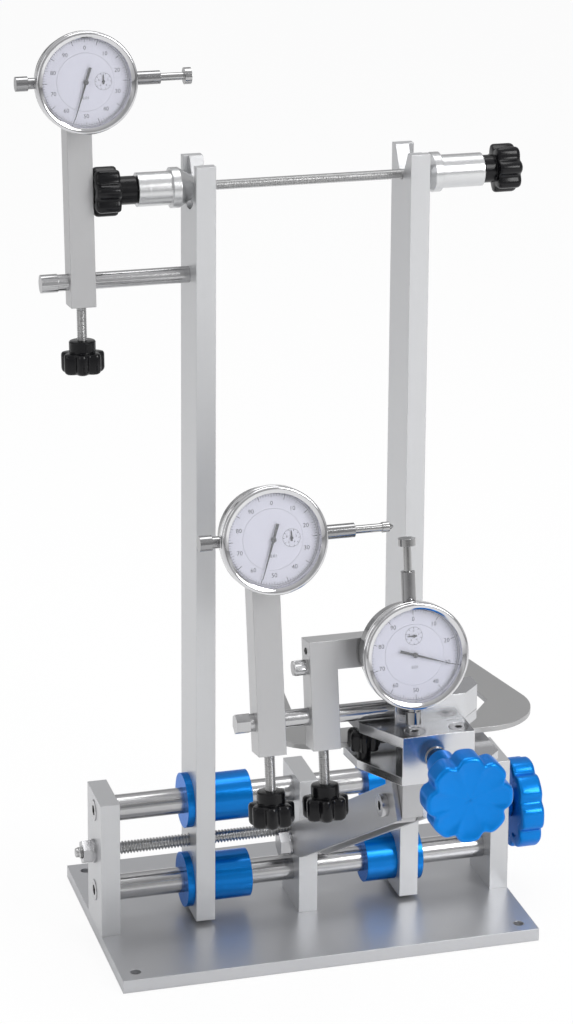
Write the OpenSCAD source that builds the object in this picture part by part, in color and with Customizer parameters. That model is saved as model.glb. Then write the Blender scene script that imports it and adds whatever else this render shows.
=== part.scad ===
// Bicycle wheel truing stand with three dial gauges.
// X runs across the stand, Y runs back, Z runs up.
// The origin is under the middle of the base plate.

/* [Base] */
// Width of the base plate
base_w = 265; // [250:1:320]
// Depth of the base plate
base_d = 162; // [120:1:220]
// Thickness of the base plate
base_t = 8; // [6:0.5:12]
// Diameter of the four fixing holes
base_hole_d = 6.5; // [4:0.5:8]
// Distance of a fixing hole from the two edges beside it
base_hole_inset = 10; // [8:1:15]

/* [Guide frame] */
// Thickness of an end plate
end_plate_t = 12; // [10:1:16]
// Height of an end plate above the base
end_plate_h = 87; // [84:1:100]
// Thickness of the middle support
middle_t = 12; // [10:1:12]
// Height of the middle support above the base
middle_h = 88.5; // [84:0.5:100]
// Depth of the plates and uprights, front to back
plate_d = 38; // [36:1:44]
// Distance of the guide line behind the middle of the base
line_y = -2.6; // [-8:0.2:8]
// Diameter of the guide rods
rod_d = 16; // [12:1:16]
// Height of the lower guide rod above the base
rod_low = 22.8; // [20:0.2:24]
// Height of the lead screw above the base
screw_up = 49.1; // [48:0.1:51]
// Height of the upper guide rod above the base
rod_high = 76.2; // [75:0.2:78]
// Diameter of the lead screw
screw_d = 8; // [6:1:8]

/* [Uprights] */
// Distance between the inner faces of the uprights
inner_gap = 120.4; // [110:1:130]
// Thickness of an upright
upright_t = 12; // [10:1:14]
// Length of an upright
upright_h = 481.8; // [440:1:520]
// Gap between the base and the foot of an upright
upright_foot_gap = 2.6; // [1:0.1:5]
// Outer diameter of a slide bush
bush_d = 30; // [26:1:31]
// Diameter of the flange of a slide bush
bush_flange_d = 34; // [32:1:36]
// Thickness of the flange of a slide bush
bush_flange_t = 4.5; // [3:0.5:6]
// Length of the left bushes inside their upright
left_bush_in = 25.4; // [16:0.2:26]
// Length of the right bushes inside their upright
right_bush_in = 19.7; // [16:0.2:26]
// Depth of the axle seat below the top of an upright
seat_drop = 15.6; // [14:0.2:20]
// Width of the axle slot at the top
slot_top_w = 26; // [20:1:28]
// Depth of the pocket round the axle clamp
pocket_t = 3.5; // [2:0.5:5]
// Diameter of the pocket round the axle clamp
pocket_d = 27; // [26:0.5:29]

/* [Axle and clamps] */
// Diameter of the threaded axle
axle_d = 6; // [5:0.5:6]
// Length of the threaded axle
axle_len = 198; // [194:1:200]
// Diameter of the clamp collar
collar_d = 24.4; // [22:0.2:25]
// Length of the clamp collar
collar_len = 14.8; // [12:0.2:16]
// Diameter of the clamp sleeve
sleeve_d = 20.4; // [18:0.2:22]
// Length of the left clamp sleeve
left_sleeve_len = 20.5; // [18:0.5:28]
// Length of the right clamp sleeve
right_sleeve_len = 27; // [18:0.5:30]
// Diameter of a clamp knob
clamp_knob_d = 30.5; // [26:0.5:34]
// Length of the star part of a clamp knob
clamp_star_len = 15; // [13:0.5:15]
// Length of the neck of the left clamp knob
left_neck_len = 11; // [6:0.5:14]
// Length of the neck of the right clamp knob
right_neck_len = 8; // [5:0.5:14]
// Diameter of the neck of a clamp knob
clamp_neck_d = 17; // [14:0.5:19]

/* [Blue knobs] */
// Diameter of the front knob
front_knob_d = 49.5; // [44:0.5:54]
// Diameter of the lead screw knob
lead_knob_d = 58; // [50:0.5:60]
// Thickness of the rim of the blue knobs
knob_t = 15; // [12:0.5:18]
// Length of the hub behind the front knob
front_hub_len = 36.5; // [30:0.5:40]
// Length of the hub behind the lead screw knob
lead_hub_len = 6; // [4:0.5:10]

/* [Swing arm] */
// Height of the arm pivot above the base
pivot_up = 44.5; // [44:0.1:45]
// Distance of the arm pivot in front of the guide line
pivot_front = 10.9; // [10.6:0.1:11.2]
// Length of the arm between its two pivots
arm_len = 222.4; // [205:0.1:235]
// Angle of the arm above level
arm_angle = 30.05; // [29:0.05:31]
// Width of an arm plate
arm_w = 22; // [20:1:24]
// Thickness of an arm plate
arm_t = 3; // [2:0.5:4]
// Length of an arm plate beyond the head pivot
arm_nose = 17; // [14:1:17]
// Diameter of the pivot bolts
pivot_bolt_d = 8; // [6:1:8]

/* [Head] */
// Height of the underside of the head above its pivot
head_up = 20.5; // [20.5:0.5:24]
// Thickness of the lower plate of the head
head_low_t = 5; // [4:0.5:6]
// Height of the opening in the head
head_gap = 17.5; // [17:0.5:20]
// Thickness of the upper plate of the head
head_top_t = 6; // [5:0.5:8]
// Thickness of the front wall of the head
head_wall_t = 12; // [11:0.5:13]
// Width of the front wall of the head
head_w = 42; // [40:1:46]
// Distance of the front wall in front of the head pivot
head_front = 22; // [20:0.5:24]
// Height of the gauge block on the head
block_h = 15; // [13:0.5:16]
// Diameter of the gauge rods
gauge_rod_d = 10; // [8:0.5:10]

/* [Fork] */
// Thickness of the fork plate
fork_t = 3; // [2:0.5:4]
// Distance between the inner corners of the fork
fork_inner_w = 116; // [110:1:122]
// Distance from the front edge of the fork to the tips of its claws
fork_len = 104; // [90:1:108]
// Width of the band across the front of the fork
fork_band = 20; // [18:1:22]

/* [Gauges] */
// Diameter of a gauge bezel
bezel_d = 60; // [57:0.5:60]
// Diameter of a gauge case
case_d = 54; // [50:0.5:55]
// Depth of a gauge from the bezel to the back of the case
case_depth = 22; // [20:0.5:24]
// Diameter of a gauge stem
stem_d = 8; // [7:0.5:9]
// Diameter of a gauge spindle
spindle_d = 4.6; // [4:0.2:5]
// Length of a gauge spindle that shows beyond the stem
spindle_out = 14.5; // [12:0.5:18]
// Diameter of the contact discs
disc_d = 10; // [8:0.5:12]
// Distance from the front of a gauge to its lug hole
lug_back = 33; // [32:0.5:36]
// Travel of a gauge spindle for one turn of its pointer
turn_travel = 1; // [0.5:0.1:2]

/* [Gauge posts] */
// Depth of a gauge post, front to back
post_d = 16; // [15:0.5:17]
// Width of the side post
side_post_w = 15; // [13:0.5:16]
// Width of the left post and the middle post
post_w = 15.8; // [15:0.1:16.4]
// Height of the side gauge above its rod
side_gauge_up = 121.7; // [100:0.5:126]
// Height of the left gauge above its rod
left_gauge_up = 106.3; // [90:0.1:120]
// Height of the middle gauge above its rod
middle_gauge_up = 35; // [35:0.5:40]
// Lean of the side post
side_lean = 5; // [3:0.5:8]
// Lean of the left post and the middle post
post_lean = 10; // [8:0.5:11]
// Diameter of the post knobs
post_knob_d = 26.5; // [22:0.5:28]
// Diameter of the post clamp screws
post_screw_d = 6; // [5:0.5:6]

/* [Fits] */
// Running clearance on the radius of a shaft
fit = 0.05; // [0.02:0.01:0.08]
// Clearance between pieces that pass each other
pass = 0.3; // [0.2:0.05:0.5]

/* [Hidden] */
$fn = 48;

// Colours
silver = "silver";
steel = "lightsteelblue";
blue = "dodgerblue";
black = "black";
dial_white = "ghostwhite";

// Places of the guide frame
end_x = base_w / 2 - end_plate_t;
plate_y0 = line_y - plate_d / 2;
rod_z_low = base_t + rod_low;
rod_z_high = base_t + rod_high;
screw_z = base_t + screw_up;
rod_zs = [rod_z_low, rod_z_high];
inner_x = inner_gap / 2;
outer_x = inner_x + upright_t;
upright_z = base_t + upright_foot_gap;
upright_top = upright_z + upright_h;
axle_z = upright_top - seat_drop;

// Fasteners
base_screw_d = 6;
base_screw_head_d = 11;
base_screw_head_t = 5;
base_screw_len = 18;
base_screw_gap = 20;
rod_screw_d = 8;
rod_screw_head_d = 13;
rod_screw_head_t = 8;
rod_screw_len = 20;
hex_key_af = 5;
nut_af = 13;
nut_t = 6.5;
washer_d = 14.8;
washer_t = 1.6;
hex_head_t = 6.5;

// Axle clamps
seat_r = axle_d / 2 + 0.4;
pocket_x = outer_x - pocket_t;
clamp_x = pocket_x + 0.1;
cone_len = 10;
cone_tip_d = 12;
clamp_bore_depth = 59.5;

// Lead screw
lead_nut_len = washer_t + nut_t;
lead_left = base_w / 2 + lead_nut_len + 4;
lead_right = base_w / 2 + lead_hub_len + knob_t - 4;
lead_hub_d = 18;

// Swing arm
pivot = [line_y - pivot_front, base_t + pivot_up];
arm_x = middle_t / 2 + 0.2;
head_pivot = pivot + arm_len * [-cos(arm_angle), sin(arm_angle)];
arm_end_r = 7.5;
arm_end_w = 14.2;
arm_taper = 20;

// Head
head_z = head_pivot[1] + head_up;
head_x = 14;
head_y = head_pivot[0] - head_front;
head_back = head_y + 50;
head_inner_z = head_z + head_low_t;
head_top_z = head_inner_z + head_gap;
block_z = head_top_z + head_top_t;
feed_x = head_x - 1.6;
feed_z = head_inner_z + 10.2;
feed_d = 6;
feed_in = 52;
feed_knob_gap = 8;
feed_out = feed_knob_gap + front_hub_len + 2;
feed_bush_d = 12;
feed_hub_d = 16;
block_y = head_y + 18;
block_left = head_x - 20;
block_back = head_y + 40;
gauge_rod_wall = 0.6;
head_screw_d = 4;
head_screw_head_d = 10.5;
head_screw_head_t = 4;
head_screw_gap = 25.4;
head_screw_x = head_x + 1.2;
head_screw_y = head_y + 8;
gauge_rod_y = head_y + 30;
gauge_rod_z = block_z + gauge_rod_d / 2 + gauge_rod_wall;
gauge_rod_left = head_x - 101;
gauge_rod_hex_af = 10;
gauge_rod_hex_len = 8;
gauge_rod_in = 20;

// Fork
fork_x = feed_x;
fork_z = head_inner_z + 2.7;
fork_y = head_y + 42;
fork_top_z = fork_z + fork_t;
fork_corner_r = 33;
fork_tip_r = 8.5;
nut_w = 16;
nut_y = head_y + 28;
nut_len = 28;
lock_x = head_x - 33.5;
lock_y = head_y + 32;
lock_d = 19;
lock_foot_d = 8;

// Gauge parts, seen from the front with the stem to the right
glass_t = 1.5;
glass_y = 0.8;
bezel_t = 8.2;
bezel_lip = 3;
dial_y = 6;
dial_t = 0.8;
dial_split_r = 17;
scale_r = 25.6;
pointer_len = 22.5;
pointer_tail = 9;
pointer_y = 4;
pointer_t = 0.4;
pointer_angle = -108;
arbor_d = 2;
counter_x = 10.5;
counter_len = 4.6;
counter_y = 5.1;
counter_arbor_d = 1.2;
stem_y = 12.5;
stem_out = 15.5;
left_stem_out = 18;
left_spindle_out = 16;
cap_d = 8.7;
cap_len = 10;
cap_neck_d = 6.6;
cap_neck_len = 3;
ear_t = 6;
ear_r = 6.5;
lug_d = 5;
disc_t = 4;
spindle_in = 16;

// Posts
side_rod_z = axle_z - 53.8;
side_rod_len = 80;
side_rod_end_d = 11;
side_rod_end_len = 10;
side_post_x = -outer_x - 65.8;
side_gauge_x = -outer_x - 65.3;
side_post_drop = 14.5;
left_post_x = head_x - 90.1;
left_gauge_x = left_post_x;
middle_post_x = head_x - 58.8;
middle_gauge_x = head_x - 12;
post_drop = 18;
post_bar_h = 16.4;
post_top = 8;
side_knob_drop = 42.2;
left_knob_drop = 46;
middle_knob_drop = 45.5;
post_neck_d = 16;
post_neck_len = 7;
post_star_len = 13;
thumb_d = 8;
thumb_len = 8;
thumb_drop = 7;

// Shared shapes

module along_x(x, y, z) {
  translate([x, y, z]) rotate([0, 90, 0]) children();
}

module rod_x(x0, x1, y, z, r) {
  along_x(x0, y, z) cylinder(h = x1 - x0, r = r);
}

module hex_bar(af, h) {
  cylinder(h = h, r = af / 2 / cos(30), $fn = 6);
}

// Outline of a knob with rounded lobes
module lobes(d, count, depth) {
  step = 360 / count;
  lobe_r = d / 2 * sin(step / 2) * 0.72;
  circle(d = d - 2 * depth);
  for (i = [0 : count - 1])
    rotate(i * step)
      translate([d / 2 - lobe_r, 0])
        circle(r = lobe_r);
}

// Black star knob, from the end of its neck up +Z
module star_knob(d, neck_d, neck_len, star_len, bore_d, bore_len) {
  difference() {
    union() {
      cylinder(h = neck_len, d = neck_d);
      translate([0, 0, neck_len])
        linear_extrude(star_len) lobes(d, 7, 3.2);
    }
    translate([0, 0, -1]) cylinder(h = bore_len + 1, r = bore_d / 2 + fit);
  }
}

// Blue knob with eight shallow scallops
module blue_knob(d, hub_d, hub_len, bore_d, bore_len) {
  difference() {
    union() {
      cylinder(h = hub_len, d = hub_d);
      translate([0, 0, hub_len])
        linear_extrude(knob_t) lobes(d, 8, 3);
    }
    translate([0, 0, -1]) cylinder(h = bore_len + 1, r = bore_d / 2 + fit);
  }
}

// Base and guide frame

module base_screw_places() {
  for (x = [-end_x - end_plate_t / 2, 0, end_x + end_plate_t / 2])
    for (s = [-1, 1])
      translate([x, line_y + s * base_screw_gap / 2, 0]) children();
}

module base_plate() {
  color(silver)
    difference() {
      translate([-base_w / 2, -base_d / 2, 0]) cube([base_w, base_d, base_t]);
      for (x = [-1, 1], y = [-1, 1])
        translate([x * (base_w / 2 - base_hole_inset), y * (base_d / 2 - base_hole_inset), -1])
          cylinder(h = base_t + 2, d = base_hole_d);
      base_screw_places() {
        translate([0, 0, -1]) cylinder(h = base_t + 2, r = base_screw_d / 2 + fit);
        translate([0, 0, -1]) cylinder(h = base_screw_head_t + 1.5, r = base_screw_head_d / 2 + fit);
      }
    }
}

module base_screws() {
  color(steel)
    base_screw_places()
      translate([0, 0, 0.5])
        difference() {
          union() {
            cylinder(h = base_screw_head_t, d = base_screw_head_d);
            cylinder(h = base_screw_len, d = base_screw_d);
          }
          translate([0, 0, -1]) hex_bar(hex_key_af, 4);
        }
}

module base_screw_holes() {
  base_screw_places()
    translate([0, 0, base_t - 1]) cylinder(h = base_screw_len - base_t + 2, r = base_screw_d / 2 + fit);
}

module end_plates() {
  color(silver)
    for (s = [-1, 1])
      difference() {
        translate([s > 0 ? end_x : -end_x - end_plate_t, plate_y0, base_t])
          cube([end_plate_t, plate_d, end_plate_h]);
        rod_x(-base_w, base_w, line_y, screw_z, screw_d / 2 + fit);
        for (z = rod_zs) {
          rod_x(-base_w, base_w, line_y, z, rod_screw_d / 2 + fit);
          for (m = [0, 1])
            mirror([m, 0, 0])
              rod_x(base_w / 2 - rod_screw_head_t + 0.5, base_w, line_y, z, rod_screw_head_d / 2 + fit);
        }
        base_screw_holes();
      }
}

module middle_support() {
  color(silver)
    difference() {
      translate([-middle_t / 2, plate_y0, base_t]) cube([middle_t, plate_d, middle_h]);
      rod_x(-base_w, base_w, line_y, screw_z, screw_d / 2 + fit);
      for (z = rod_zs) rod_x(-base_w, base_w, line_y, z, rod_d / 2 + fit);
      rod_x(-base_w, base_w, pivot[0], pivot[1], pivot_bolt_d / 2 + fit);
      base_screw_holes();
    }
}

module guide_rods() {
  color(steel)
    for (z = rod_zs)
      difference() {
        rod_x(-end_x, end_x, line_y, z, rod_d / 2);
        for (m = [0, 1])
          mirror([m, 0, 0])
            rod_x(end_x - rod_screw_len, end_x + 1, line_y, z, rod_screw_d / 2 + fit);
      }
}

module rod_screws() {
  head_x0 = base_w / 2 - rod_screw_head_t + 0.5;
  color(steel)
    for (z = rod_zs, m = [0, 1])
      mirror([m, 0, 0])
        difference() {
          union() {
            rod_x(head_x0, head_x0 + rod_screw_head_t, line_y, z, rod_screw_head_d / 2);
            rod_x(head_x0 - rod_screw_len + 2, head_x0 + 1, line_y, z, rod_screw_d / 2);
          }
          along_x(base_w / 2 - 3.5, line_y, z) hex_bar(hex_key_af + 1, 10);
        }
}

module arm_pivot_bolt() {
  plate_out = arm_x + arm_t + fit;
  head_in = plate_out + washer_t;
  color(steel) {
    rod_x(-head_in, head_in + nut_t + 2, pivot[0], pivot[1], pivot_bolt_d / 2);
    along_x(-head_in - hex_head_t, pivot[0], pivot[1]) hex_bar(nut_af, hex_head_t);
    for (m = [0, 1])
      mirror([m, 0, 0])
        rod_x(plate_out, head_in, pivot[0], pivot[1], washer_d / 2);
    along_x(head_in, pivot[0], pivot[1]) hex_bar(nut_af, nut_t);
  }
}

// Uprights, drawn for the right side

module upright() {
  color(silver)
    difference() {
      translate([inner_x, plate_y0, upright_z]) cube([upright_t, plate_d, upright_h]);
      for (z = rod_zs) rod_x(0, base_w, line_y, z, bush_d / 2 + fit);
      rod_x(0, base_w, line_y, screw_z, screw_d / 2 + fit);
      // Axle slot: a round seat that opens upward into a V
      rod_x(0, base_w, line_y, axle_z, seat_r);
      translate([0, line_y, 0]) rotate([90, 0, 90]) linear_extrude(base_w)
        polygon([
          [-seat_r, axle_z], [-slot_top_w / 2, upright_top + 1],
          [slot_top_w / 2, upright_top + 1], [seat_r, axle_z]
        ]);
      // Pocket for the clamp collar in the outer face
      rod_x(pocket_x, base_w, line_y, axle_z, pocket_d / 2);
      translate([pocket_x, line_y - pocket_d / 2, axle_z]) cube([base_w, pocket_d, seat_drop + 1]);
    }
}

module bushes(reach) {
  color(blue)
    for (z = rod_zs)
      difference() {
        union() {
          rod_x(inner_x - reach, outer_x + 1, line_y, z, bush_d / 2);
          rod_x(outer_x, outer_x + bush_flange_t, line_y, z, bush_flange_d / 2);
        }
        rod_x(0, base_w, line_y, z, rod_d / 2 + fit);
      }
}

module left_upright() {
  difference() {
    mirror([1, 0, 0]) upright();
    rod_x(-outer_x - 1, -outer_x + 6, line_y, side_rod_z, 3 + fit);
  }
}
module right_upright() { upright(); }
module left_bushes() { mirror([1, 0, 0]) bushes(left_bush_in); }
module right_bushes() { bushes(right_bush_in); }

// Lead screw

module lead_screw() {
  color(steel) rod_x(-lead_left, lead_right, line_y, screw_z, screw_d / 2);
}

module lead_screw_nut() {
  color(steel) {
    difference() {
      rod_x(-base_w / 2 - washer_t, -base_w / 2 - fit, line_y, screw_z, washer_d / 2);
      rod_x(-base_w, 0, line_y, screw_z, screw_d / 2 + fit);
    }
    difference() {
      along_x(-base_w / 2 - lead_nut_len, line_y, screw_z) hex_bar(nut_af, nut_t);
      rod_x(-base_w, 0, line_y, screw_z, screw_d / 2 + fit);
    }
  }
}

module lead_knob() {
  color(blue)
    along_x(base_w / 2 + fit, line_y, screw_z)
      blue_knob(lead_knob_d, lead_hub_d, lead_hub_len, screw_d, lead_right - base_w / 2);
}

// Axle and its clamps

module axle_rod() {
  color(steel) rod_x(-axle_len / 2, axle_len / 2, line_y, axle_z, axle_d / 2);
}

// Collar and sleeve of a clamp, drawn for the right side
module clamp_sleeve(len) {
  color(silver)
    along_x(clamp_x, line_y, axle_z)
      difference() {
        union() {
          cylinder(h = cone_len, d1 = cone_tip_d, d2 = collar_d);
          translate([0, 0, cone_len]) cylinder(h = collar_len - cone_len, d = collar_d);
          translate([0, 0, cone_len]) cylinder(h = collar_len - cone_len + len, d = sleeve_d);
        }
        translate([0, 0, -1]) cylinder(h = collar_len + len + 2, r = axle_d / 2 + fit);
      }
}

module clamp_knob(len, neck_len) {
  bore_len = clamp_bore_depth - collar_len - len;
  color(black)
    along_x(clamp_x + collar_len + len + fit, line_y, axle_z)
      star_knob(clamp_knob_d, clamp_neck_d, neck_len, clamp_star_len, axle_d, bore_len);
}

module left_clamp_sleeve() { mirror([1, 0, 0]) clamp_sleeve(left_sleeve_len); }
module left_clamp_knob() { mirror([1, 0, 0]) clamp_knob(left_sleeve_len, left_neck_len); }
module right_clamp_sleeve() { clamp_sleeve(right_sleeve_len); }
module right_clamp_knob() { clamp_knob(right_sleeve_len, right_neck_len); }

// Swing arm

module arm_plate() {
  rotate([90, 0, 90]) linear_extrude(arm_t)
    difference() {
      union() {
        translate(pivot) circle(r = arm_end_r);
        translate(pivot) rotate(180 - arm_angle)
          polygon([
            [0, -arm_end_w / 2], [arm_taper, -arm_w / 2], [arm_len + arm_nose, -arm_w / 2],
            [arm_len + arm_nose, arm_w / 2], [arm_taper, arm_w / 2], [0, arm_end_w / 2]
          ]);
      }
      translate(pivot) circle(d = pivot_bolt_d + 2 * fit);
      translate(head_pivot) circle(d = pivot_bolt_d + 2 * fit);
    }
}

module arm_plates() {
  color(silver) {
    translate([arm_x, 0, 0]) arm_plate();
    translate([-arm_x - arm_t, 0, 0]) arm_plate();
  }
}

module head_pivot_bolt() {
  plate_out = arm_x + arm_t;
  color(steel) {
    difference() {
      union() {
        rod_x(-plate_out - 4, -plate_out, head_pivot[0], head_pivot[1], 6.5);
        rod_x(-plate_out, plate_out + nut_t + 1, head_pivot[0], head_pivot[1], pivot_bolt_d / 2);
      }
      along_x(-plate_out - 5, head_pivot[0], head_pivot[1]) hex_bar(hex_key_af, 4);
    }
    along_x(plate_out, head_pivot[0], head_pivot[1]) hex_bar(nut_af, nut_t);
  }
}

// Head

module pivot_block() {
  color(silver)
    difference() {
      translate([-middle_t / 2, 0, 0]) rotate([90, 0, 90]) linear_extrude(middle_t)
        difference() {
          union() {
            translate(head_pivot) circle(r = arm_w / 2);
            translate([head_pivot[0] - 20, head_pivot[1]]) square([31, head_up]);
          }
          translate(head_pivot) circle(d = pivot_bolt_d + 2 * fit);
        }
    }
}

// Plan of the lower and upper plates of the head, from its front left corner
module low_plan() {
  polygon([
    [head_x - head_w / 2, head_y], [head_x + head_w / 2, head_y],
    [head_x + 43, head_y + 22], [head_x + 43, head_back],
    [head_x - 40, head_back], [head_x - 38, head_y + 30]
  ]);
}

module top_plan() {
  polygon([
    [head_x - head_w / 2, head_y], [head_x + head_w / 2, head_y],
    [head_x + head_w / 2, block_y], [head_x + 32, block_y + 11], [head_x + 32, head_back],
    [head_x - 40, head_back], [head_x - 38, head_y + 27]
  ]);
}

module head_screw_places() {
  for (s = [-1, 1])
    translate([head_screw_x + s * head_screw_gap / 2, head_screw_y, block_z]) children();
}

module head_channel() {
  color(silver)
    difference() {
      union() {
        translate([0, 0, head_z]) linear_extrude(head_low_t) low_plan();
        translate([head_x - head_w / 2, head_y, head_z])
          cube([head_w, head_wall_t, block_z - head_z]);
        translate([0, 0, head_top_z]) linear_extrude(head_top_t) top_plan();
      }
      translate([feed_x, head_y - 1, feed_z]) rotate([-90, 0, 0])
        cylinder(h = head_wall_t + 2, r = feed_bush_d / 2);
      head_screw_places() {
        translate([0, 0, -head_screw_head_t])
          cylinder(h = head_screw_head_t + 1, r = head_screw_head_d / 2 + 0.5);
        translate([0, 0, -20]) cylinder(h = 21, r = head_screw_d / 2 + fit);
      }
    }
}

module head_screws() {
  color(steel)
    head_screw_places()
      difference() {
        union() {
          translate([0, 0, -head_screw_head_t]) cylinder(h = head_screw_head_t, d = head_screw_head_d);
          translate([0, 0, -18]) cylinder(h = 18, d = head_screw_d);
        }
        translate([0, 0, -2.5]) hex_bar(4, 4);
      }
}

module gauge_block() {
  color(silver)
    difference() {
      translate([0, 0, block_z]) linear_extrude(block_h)
        polygon([
          [block_left, block_y], [head_x + head_w / 2, block_y], [head_x + 32, block_y + 11],
          [head_x + 32, block_back], [block_left, block_back]
        ]);
      rod_x(block_left - 1, block_left + gauge_rod_in, gauge_rod_y, gauge_rod_z, gauge_rod_d / 2 + fit);
    }
}

module gauge_rod() {
  color(steel) {
    rod_x(gauge_rod_left, block_left + gauge_rod_in - 1, gauge_rod_y, gauge_rod_z, gauge_rod_d / 2);
    along_x(gauge_rod_left - gauge_rod_hex_len, gauge_rod_y, gauge_rod_z)
      hex_bar(gauge_rod_hex_af, gauge_rod_hex_len);
  }
}

// Front knob and the fork that it feeds

module feed_screw() {
  bush_at = feed_in - head_wall_t;
  color(steel)
    translate([feed_x, head_y + feed_in, feed_z]) rotate([90, 0, 0]) {
      cylinder(h = feed_in + feed_out, d = feed_d);
      translate([0, 0, bush_at - 2]) cylinder(h = 2 - fit, d = feed_bush_d + 2);
      translate([0, 0, bush_at - 1]) cylinder(h = head_wall_t + 2, d = feed_bush_d - 2 * fit);
    }
}

module front_knob() {
  color(blue)
    translate([feed_x, head_y - feed_knob_gap, feed_z]) rotate([90, 0, 0])
      blue_knob(front_knob_d, feed_hub_d, front_hub_len, feed_d, feed_out - feed_knob_gap + 0.5);
}

// Right half of the fork outline, from the front edge round to the inner edge
function fork_half(corner_x, tip_x, edge_y, tip_y) = concat(
  [for (a = [-90 : 7.5 : 7.5])
    [corner_x + fork_corner_r * cos(a), edge_y + fork_corner_r * sin(a)]],
  [for (a = [7.5 : 15 : 180])
    [tip_x + fork_tip_r * cos(a), tip_y + fork_tip_r * sin(a)]],
  [
    [fork_inner_w / 2, fork_y + fork_band + 18],
    [fork_inner_w / 2 - 14, fork_y + fork_band]
  ]
);

module fork() {
  half = fork_half(fork_inner_w / 2 - 10, fork_inner_w / 2 + 2, fork_y + fork_corner_r,
    fork_y + fork_len - fork_tip_r);
  color(silver)
    translate([fork_x, 0, fork_z]) linear_extrude(fork_t)
      polygon(concat(half, [for (i = [len(half) - 1 : -1 : 0]) [-half[i][0], half[i][1]]]));
}

// Feed nut: it slides between the plates of the head and lies on the fork
module fork_nut() {
  color(silver)
    difference() {
      translate([feed_x - nut_w / 2, nut_y, head_inner_z + fit])
        cube([nut_w, nut_len, head_gap - fit - pass]);
      translate([feed_x - nut_w, fork_y, head_inner_z - 1])
        cube([2 * nut_w, nut_len, fork_top_z - head_inner_z + 1]);
      translate([feed_x, nut_y - 1, feed_z]) rotate([-90, 0, 0])
        cylinder(h = nut_len + 2, r = feed_d / 2 + fit);
    }
}

module fork_lock_knob() {
  star_z = fork_top_z + pass;
  color(black)
    translate([lock_x, lock_y, 0]) {
      translate([0, 0, head_inner_z]) cylinder(h = star_z - head_inner_z + 1, d = lock_foot_d);
      translate([0, 0, star_z]) linear_extrude(head_top_z - star_z - pass) lobes(lock_d, 7, 1.8);
    }
}

// Gauge posts. A post stands in its own frame: its rod at the origin, leaning back

module lean(x, y, z, a) {
  translate([x, y, z]) rotate([-a, 0, 0]) children();
}

module at_side(x) { lean(x, line_y, side_rod_z, side_lean) children(); }
module at_head(x) { lean(x, gauge_rod_y, gauge_rod_z, post_lean) children(); }

// Slot for the ear of a gauge, open to the front, top and back
module ear_slot(x, up) {
  translate([x - ear_t / 2 - pass / 2, -post_d, up - ear_r - 1.5])
    cube([ear_t + pass, 2 * post_d, 2 * ear_r + post_top]);
}

module post(w, gauge_dx, up, drop, rod_r) {
  color(silver)
    difference() {
      translate([-w / 2, -post_d / 2, -drop]) cube([w, post_d, drop + up + post_top]);
      rod_x(-w, w, 0, 0, rod_r + fit);
      translate([0, 0, -drop - 1]) cylinder(h = drop, r = post_screw_d / 2 + fit);
      ear_slot(gauge_dx, up);
      rod_x(-w, w, 0, up, lug_d / 2 + fit);
    }
}

module lug_screw(x0, x1, up) {
  color(steel) {
    rod_x(x0, x1, 0, up, lug_d / 2);
    rod_x(x0 - 3, x0, 0, up, lug_d);
  }
}

module side_post() {
  dx = side_gauge_x - side_post_x;
  at_side(side_post_x) {
    post(side_post_w, dx, side_gauge_up, side_post_drop, gauge_rod_d / 2);
    lug_screw(-side_post_w / 2, side_post_w / 2, side_gauge_up);
  }
}

module left_post() {
  at_head(left_post_x) {
    post(post_w, 0, left_gauge_up, post_drop, gauge_rod_d / 2);
    lug_screw(-post_w / 2, post_w / 2, left_gauge_up);
  }
}

module middle_post() {
  bar_end = middle_gauge_x - middle_post_x - ear_t / 2 - pass / 2;
  at_head(middle_post_x) {
    color(silver)
      difference() {
        union() {
          translate([-post_w / 2, -post_d / 2, -post_drop])
            cube([post_w, post_d, post_drop + middle_gauge_up + post_bar_h / 2]);
          translate([-post_w / 2, -post_d / 2, middle_gauge_up - post_bar_h / 2])
            cube([bar_end + post_w / 2, post_d, post_bar_h]);
        }
        rod_x(-post_w, post_w, 0, 0, gauge_rod_d / 2 + fit);
        translate([0, 0, -post_drop - 1]) cylinder(h = post_drop, r = post_screw_d / 2 + fit);
        rod_x(-post_w, bar_end + 1, 0, middle_gauge_up, lug_d / 2 + fit);
      }
    color(steel) {
      rod_x(-post_w / 2, bar_end + ear_t + 2, 0, middle_gauge_up, lug_d / 2);
      rod_x(-post_w / 2 - thumb_len, -post_w / 2, 0, middle_gauge_up - thumb_drop, thumb_d / 2);
      rod_x(bar_end + ear_t + 0.5, bar_end + ear_t + 3, 0, middle_gauge_up, lug_d);
    }
  }
}

module post_screw(knob_drop) {
  color(steel)
    translate([0, 0, -knob_drop]) cylinder(h = knob_drop - gauge_rod_d / 2 - 0.1, d = post_screw_d);
}

module post_knob(knob_drop) {
  color(black)
    translate([0, 0, -knob_drop + post_neck_len])
      rotate([180, 0, 0])
        star_knob(post_knob_d, post_neck_d, post_neck_len, post_star_len, post_screw_d, post_neck_len);
}

module side_post_screw() { at_side(side_post_x) post_screw(side_knob_drop); }
module side_post_knob() { at_side(side_post_x) post_knob(side_knob_drop); }
module left_post_screw() { at_head(left_post_x) post_screw(left_knob_drop); }
module left_post_knob() { at_head(left_post_x) post_knob(left_knob_drop); }
module middle_post_screw() { at_head(middle_post_x) post_screw(middle_knob_drop); }
module middle_post_knob() { at_head(middle_post_x) post_knob(middle_knob_drop); }

module side_rod() {
  color(steel) {
    rod_x(-outer_x - side_rod_len, -outer_x, line_y, side_rod_z, gauge_rod_d / 2);
    rod_x(-outer_x - side_rod_len - side_rod_end_len, -outer_x - side_rod_len, line_y, side_rod_z,
      side_rod_end_d / 2);
    rod_x(-outer_x - 1, -outer_x + 5.5, line_y, side_rod_z, 3);
  }
}

// Dial gauge in its own frame: front at y = 0, dial centre at the origin, stem along +X

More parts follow.
